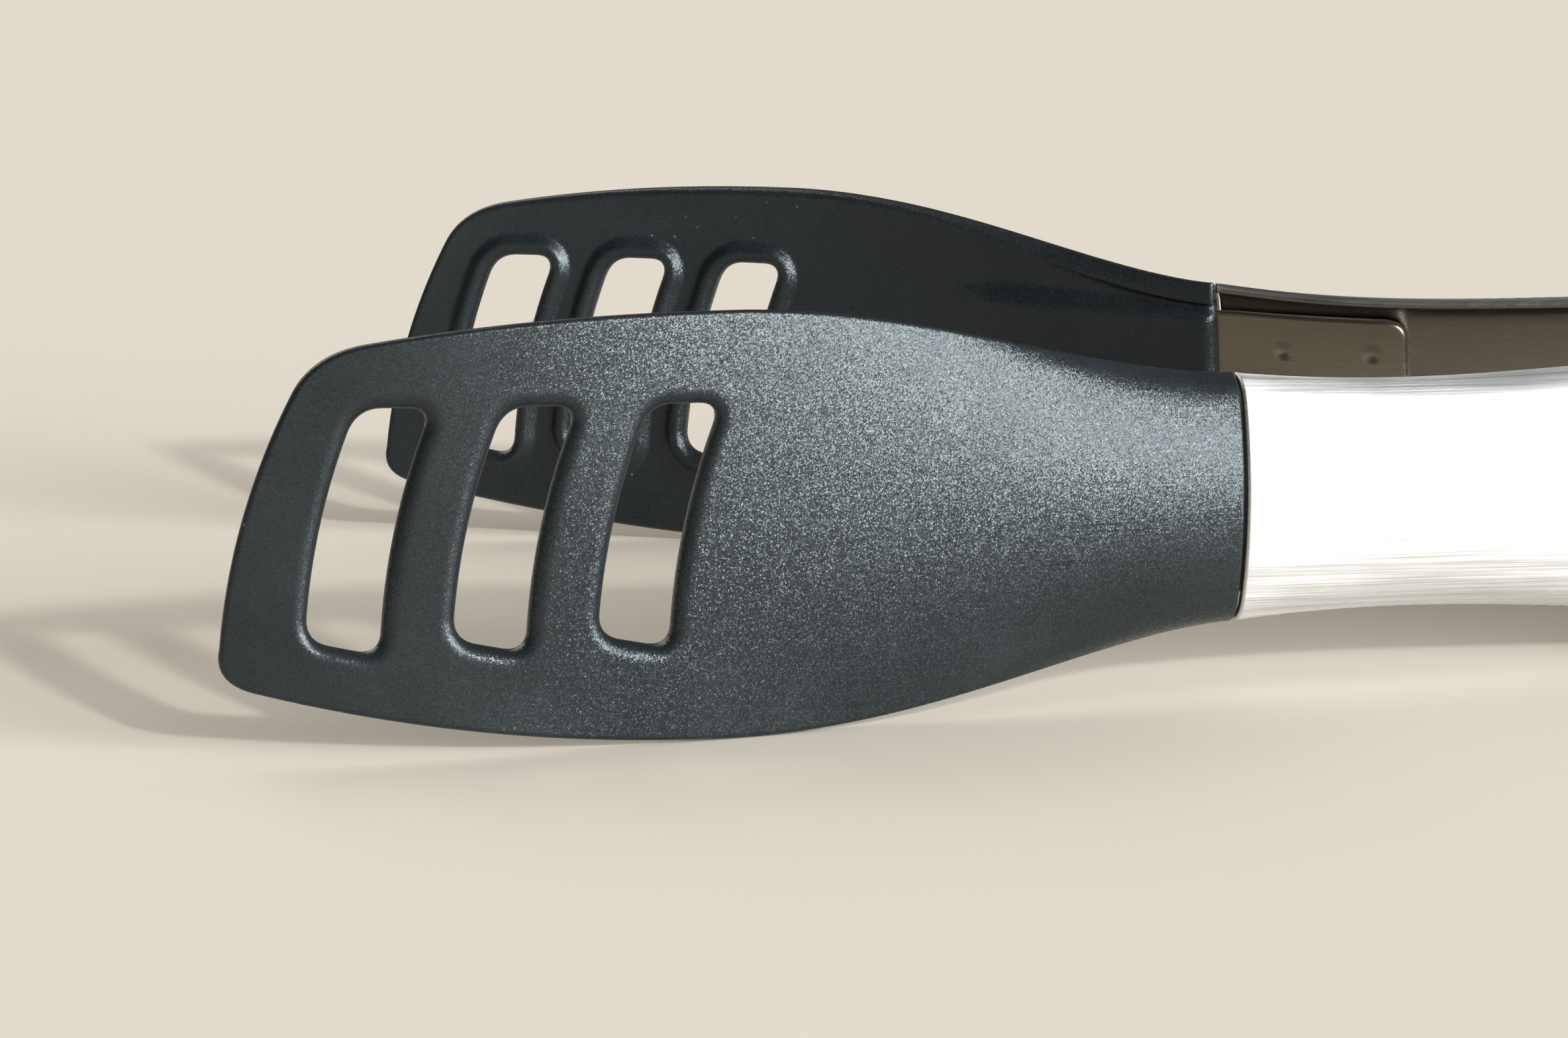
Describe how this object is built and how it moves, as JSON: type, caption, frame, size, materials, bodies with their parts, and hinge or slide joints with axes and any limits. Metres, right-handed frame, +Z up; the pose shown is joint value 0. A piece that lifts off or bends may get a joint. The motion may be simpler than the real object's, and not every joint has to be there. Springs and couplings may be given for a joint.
{
  "type": "spring loaded kitchen tongs",
  "caption": "Spring loaded kitchen tongs with slotted nylon turner heads, brushed steel arms, soft grips and a pull-out lock with a hanging hole.",
  "frame": {"origin": "on the surface that the tongs lie on, below the middle of their bounding box", "axes": "+X towards the hinge and pull tab, heads towards -X, front arm at -Y, +Z up; the tongs lie on their side, so the hinge axis stands within 2 degrees of +Z"},
  "size_m": [0.2962, 0.1496, 0.047],
  "materials": {
    "brushed_steel": "brushed lengthwise",
    "insert_steel": "plain rolled sheet",
    "turner_nylon": "satin charcoal with fine sparkle",
    "grip_rubber": "soft matt",
    "liner_nylon": "matt",
    "hinge_steel": "tumbled",
    "spring_steel": "drawn wire",
    "tab_nylon": "satin"
  },
  "bodies": {
    "hinge": {"hinge_pin": "hinge_steel", "hinge_washer_upper": "hinge_steel", "hinge_washer_lower": "hinge_steel", "spacer_tube": "hinge_steel", "torsion_spring": "spring_steel"},
    "front_side": {"front_arm": "brushed_steel", "front_insert": "insert_steel", "front_head": "turner_nylon", "front_grip": "grip_rubber", "front_grip_liner": "liner_nylon"},
    "rear_side": {"rear_arm": "brushed_steel", "rear_insert": "insert_steel", "rear_head": "turner_nylon", "rear_grip": "grip_rubber", "rear_grip_liner": "liner_nylon"},
    "lock": {"lock_stem": "hinge_steel", "lock_pin": "spring_steel", "pull_tab": "tab_nylon"}
  },
  "joints": [
    {"name": "front_arm_swing", "type": "hinge", "parent": "hinge", "child": "front_side", "pos_m": [0.10399, 0, 0.01734], "axis": [-0.0311, 0, -0.9995], "range_deg": [0, 15.9], "stiffness_Nm_per_rad": 0.25, "springref_deg": -28.65, "deforming": ["torsion_spring"]},
    {"name": "rear_arm_swing", "type": "hinge", "parent": "hinge", "child": "rear_side", "pos_m": [0.10399, 0, 0.01734], "axis": [0.0311, 0, 0.9995], "range_deg": [0, 15.9], "stiffness_Nm_per_rad": 0.25, "springref_deg": -28.65},
    {"name": "lock_slide", "type": "slide", "parent": "hinge", "child": "lock", "axis": [0.9995, 0, -0.0311], "range_m": [0, 0.006]}
  ],
  "couplings": [
    {"joint": "rear_arm_swing", "follows": "front_arm_swing", "ratio": 1}
  ]
}
